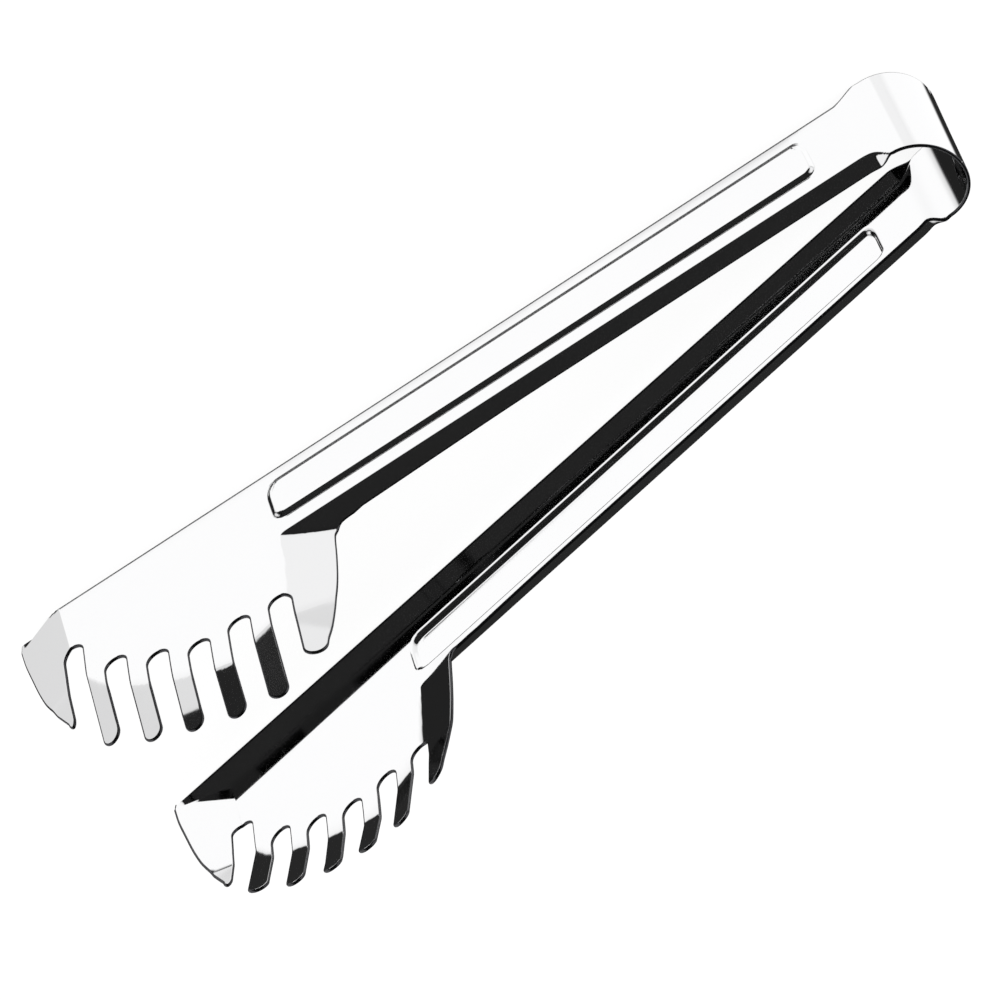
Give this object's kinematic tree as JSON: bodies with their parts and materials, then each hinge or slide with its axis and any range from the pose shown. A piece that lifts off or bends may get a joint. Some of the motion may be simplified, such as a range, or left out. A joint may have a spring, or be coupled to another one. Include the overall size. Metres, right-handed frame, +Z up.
{
  "type": "pasta tongs",
  "caption": "Spring tongs folded from one polished steel strip: a round spring bow, two channel arms with raised panels, and scooped comb jaws for lifting pasta.",
  "frame": {"origin": "centre of the bounding box's bottom face, on the surface that the tongs lie on with their teeth up", "axes": "+X from the spring bow to the jaws, +Z up along the teeth, +Y towards the left arm; the arms mirror each other in the plane Y = 0"},
  "size_m": [0.2314, 0.0624, 0.0794],
  "materials": {
    "bow_steel": "mirror-polished stainless steel",
    "right_arm_steel": "mirror-polished stainless steel",
    "left_arm_steel": "mirror-polished stainless steel"
  },
  "bodies": {
    "bow": {"spring_bow": "bow_steel"},
    "right": {"right_arm": "right_arm_steel"},
    "left": {"left_arm": "left_arm_steel"}
  },
  "joints": [
    {"name": "right_arm_flex", "type": "hinge", "parent": "bow", "child": "right", "pos_m": [-0.10518, -0.011, 0], "axis": [0, 0, 1], "range_deg": [0, 6.7], "stiffness_Nm_per_rad": 4},
    {"name": "left_arm_flex", "type": "hinge", "parent": "bow", "child": "left", "pos_m": [-0.10518, 0.011, 0], "axis": [0, 0, -1], "range_deg": [0, 6.7], "stiffness_Nm_per_rad": 4}
  ],
  "couplings": [
    {"joint": "left_arm_flex", "follows": "right_arm_flex", "ratio": 1}
  ]
}
